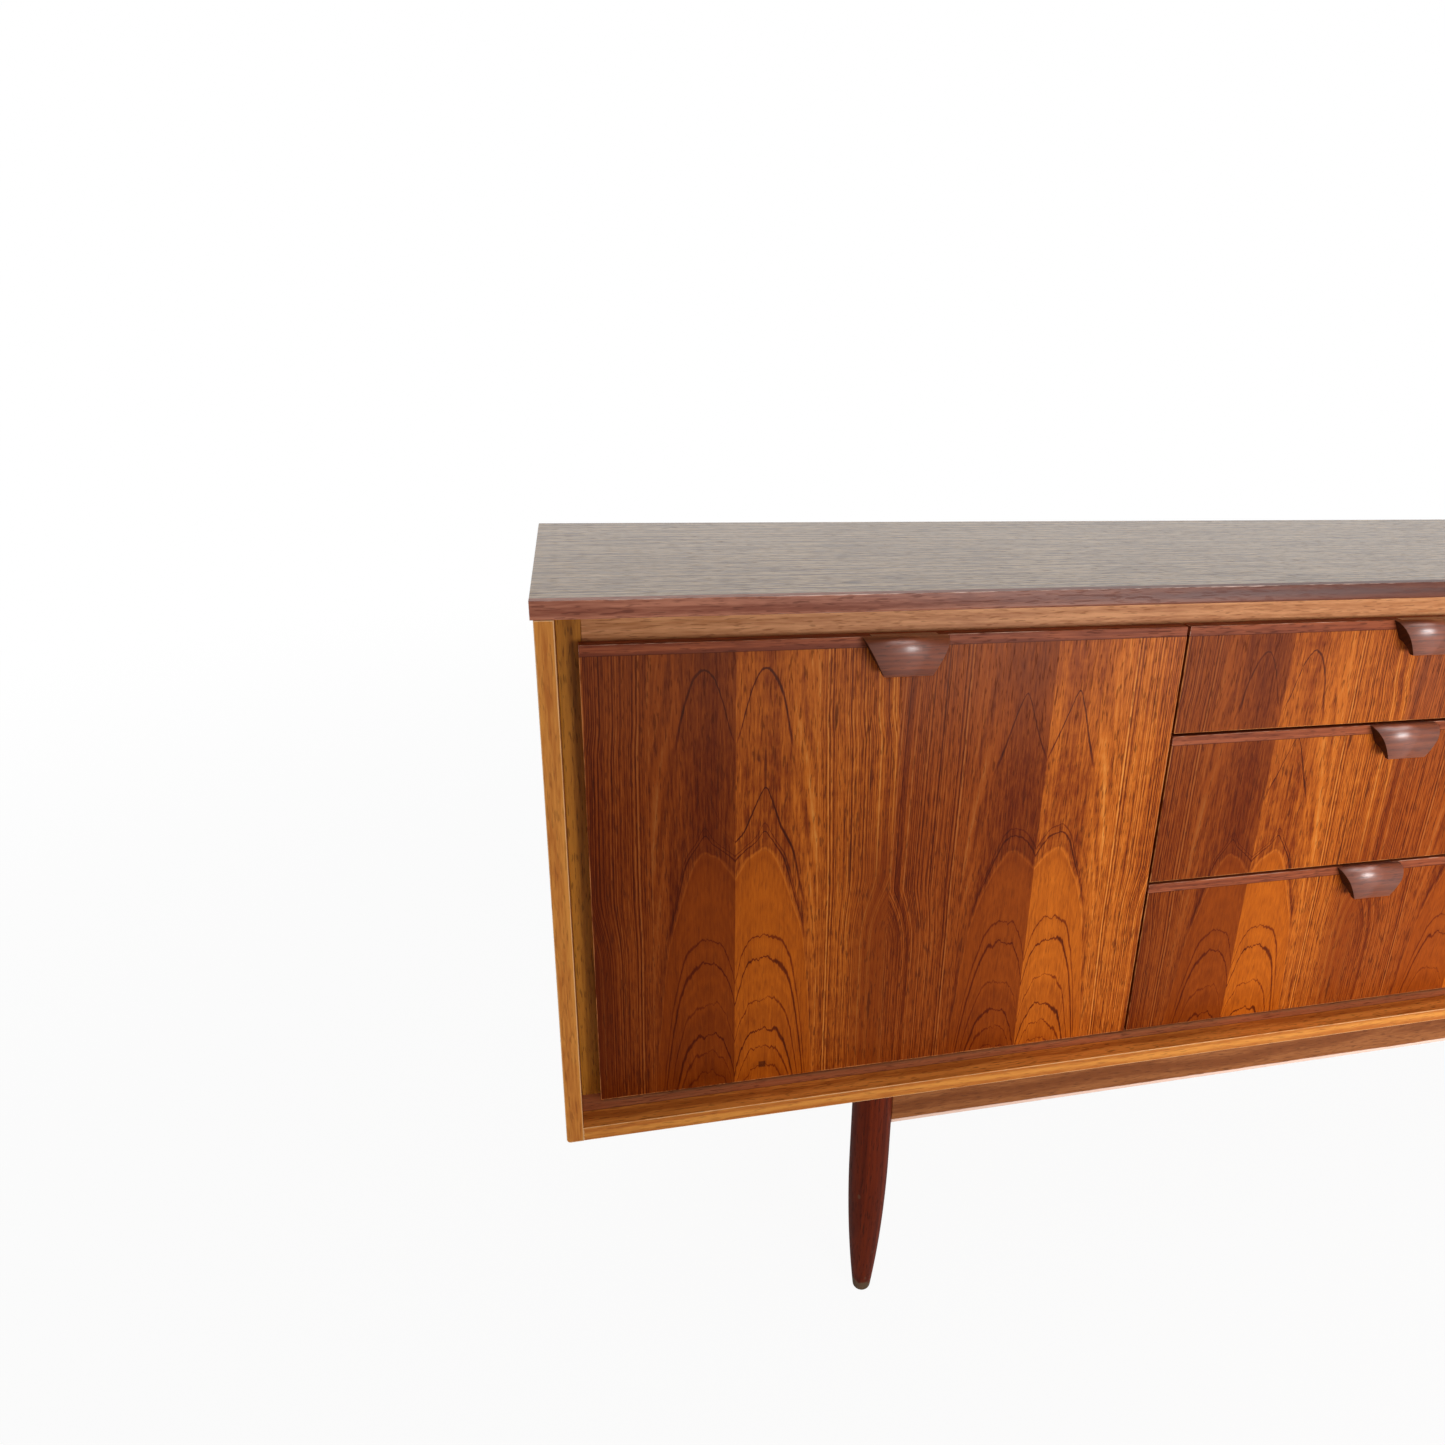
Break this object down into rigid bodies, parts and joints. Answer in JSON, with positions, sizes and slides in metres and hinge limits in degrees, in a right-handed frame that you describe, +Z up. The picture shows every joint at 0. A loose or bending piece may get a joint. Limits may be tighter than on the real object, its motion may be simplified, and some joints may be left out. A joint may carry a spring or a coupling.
{
  "type": "sideboard",
  "caption": "Long low teak sideboard on turned legs: fall-flap cupboards with rod stays at both ends, a bank of graduated drawers between them, recessed fronts, carved lip handles.",
  "frame": {"origin": "centre of the bounding box's bottom, on the floor under the middle of the cabinet", "axes": "+X along the length to the right of someone facing the drawers, +Y from the front to the back, +Z up"},
  "size_m": [1.79, 0.4, 0.836],
  "materials": {
    "teak_top": "satin lacquered teak veneer, greyed by sheen",
    "teak_front": "satin lacquered book-matched teak veneer",
    "teak_carcass": "satin teak veneer",
    "teak_lipping_light": "solid light teak, satin",
    "teak_lipping_red": "solid reddish teak, satin",
    "teak_handle": "carved solid teak, satin",
    "teak_leg": "turned solid teak, satin",
    "teak_base": "solid teak, satin",
    "beech": "bare solid beech",
    "plywood": "bare thin plywood",
    "brass": "satin brass",
    "steel": "zinc plated steel",
    "catch_plastic": "brown moulded plastic"
  },
  "bodies": {
    "carcass": {"top_board": "teak_top", "top_lipping": "teak_lipping_red", "side_left": "teak_carcass", "side_right": "teak_carcass", "side_lippings": "teak_lipping_light", "bottom_board": "teak_carcass", "bottom_lipping": "teak_lipping_light", "back_panel": "plywood", "partition_left": "teak_carcass", "partition_right": "teak_carcass", "front_posts": "teak_lipping_light", "top_rail": "teak_lipping_light", "shelves": "teak_carcass", "shelf_studs": "brass", "drawer_runners": "beech", "wood_screws": "steel", "catch_cases": "catch_plastic", "hinge_feet": "steel", "stay_plates": "brass", "leg_front_left": "teak_leg", "leg_front_right": "teak_leg", "leg_rear_left": "teak_leg", "leg_rear_right": "teak_leg", "base_rail_front": "teak_base", "base_rail_rear": "teak_base", "base_cross_rails": "teak_base"},
    "flap_left": {"flap_left_panel": "teak_front", "flap_left_lipping": "teak_lipping_red", "flap_left_handle": "teak_handle", "flap_left_hinge_cups": "steel", "flap_left_strike": "steel", "flap_left_stay_bracket": "brass"},
    "rod_left": {"stay_rod_left": "brass"},
    "guide_left": {"stay_guide_left": "brass"},
    "flap_right": {"flap_right_panel": "teak_front", "flap_right_lipping": "teak_lipping_red", "flap_right_handle": "teak_handle", "flap_right_hinge_cups": "steel", "flap_right_strike": "steel", "flap_right_stay_bracket": "brass"},
    "rod_right": {"stay_rod_right": "brass"},
    "guide_right": {"stay_guide_right": "brass"},
    "drawer_1": {"drawer_1_front": "teak_front", "drawer_1_lipping": "teak_lipping_red", "drawer_1_handle": "teak_handle", "drawer_1_sides": "beech", "drawer_1_back": "beech", "drawer_1_bottom": "plywood"},
    "drawer_2": {"drawer_2_front": "teak_front", "drawer_2_lipping": "teak_lipping_red", "drawer_2_handle": "teak_handle", "drawer_2_sides": "beech", "drawer_2_back": "beech", "drawer_2_bottom": "plywood"},
    "drawer_3": {"drawer_3_front": "teak_front", "drawer_3_lipping": "teak_lipping_red", "drawer_3_handle": "teak_handle", "drawer_3_sides": "beech", "drawer_3_back": "beech", "drawer_3_bottom": "plywood"}
  },
  "joints": [
    {"name": "flap_left_hinge", "type": "hinge", "parent": "carcass", "child": "flap_left", "pos_m": [-0.569, -0.161, 0.3255], "axis": [1, 0, 0], "range_deg": [0, 90]},
    {"name": "rod_left_pivot", "type": "hinge", "parent": "flap_left", "child": "rod_left", "pos_m": [-0.302, -0.144, 0.48459], "axis": [1, 0, 0], "range_deg": [-45, 0]},
    {"name": "guide_left_swivel", "type": "hinge", "parent": "carcass", "child": "guide_left", "pos_m": [-0.302, -0.10106, 0.47385], "axis": [1, 0, 0], "range_deg": [0, 45]},
    {"name": "flap_right_hinge", "type": "hinge", "parent": "carcass", "child": "flap_right", "pos_m": [0.569, -0.161, 0.3255], "axis": [1, 0, 0], "range_deg": [0, 90]},
    {"name": "rod_right_pivot", "type": "hinge", "parent": "flap_right", "child": "rod_right", "pos_m": [0.302, -0.144, 0.48459], "axis": [1, 0, 0], "range_deg": [-45, 0]},
    {"name": "guide_right_swivel", "type": "hinge", "parent": "carcass", "child": "guide_right", "pos_m": [0.302, -0.10106, 0.47385], "axis": [1, 0, 0], "range_deg": [0, 45]},
    {"name": "drawer_1_slide", "type": "slide", "parent": "carcass", "child": "drawer_1", "axis": [0, -1, 0], "range_m": [0, 0.25]},
    {"name": "drawer_2_slide", "type": "slide", "parent": "carcass", "child": "drawer_2", "axis": [0, -1, 0], "range_m": [0, 0.25]},
    {"name": "drawer_3_slide", "type": "slide", "parent": "carcass", "child": "drawer_3", "axis": [0, -1, 0], "range_m": [0, 0.25]}
  ],
  "couplings": [
    {"joint": "rod_left_pivot", "follows": "flap_left_hinge", "ratio": -0.5},
    {"joint": "guide_left_swivel", "follows": "flap_left_hinge", "ratio": 0.5},
    {"joint": "rod_right_pivot", "follows": "flap_right_hinge", "ratio": -0.5},
    {"joint": "guide_right_swivel", "follows": "flap_right_hinge", "ratio": 0.5}
  ]
}
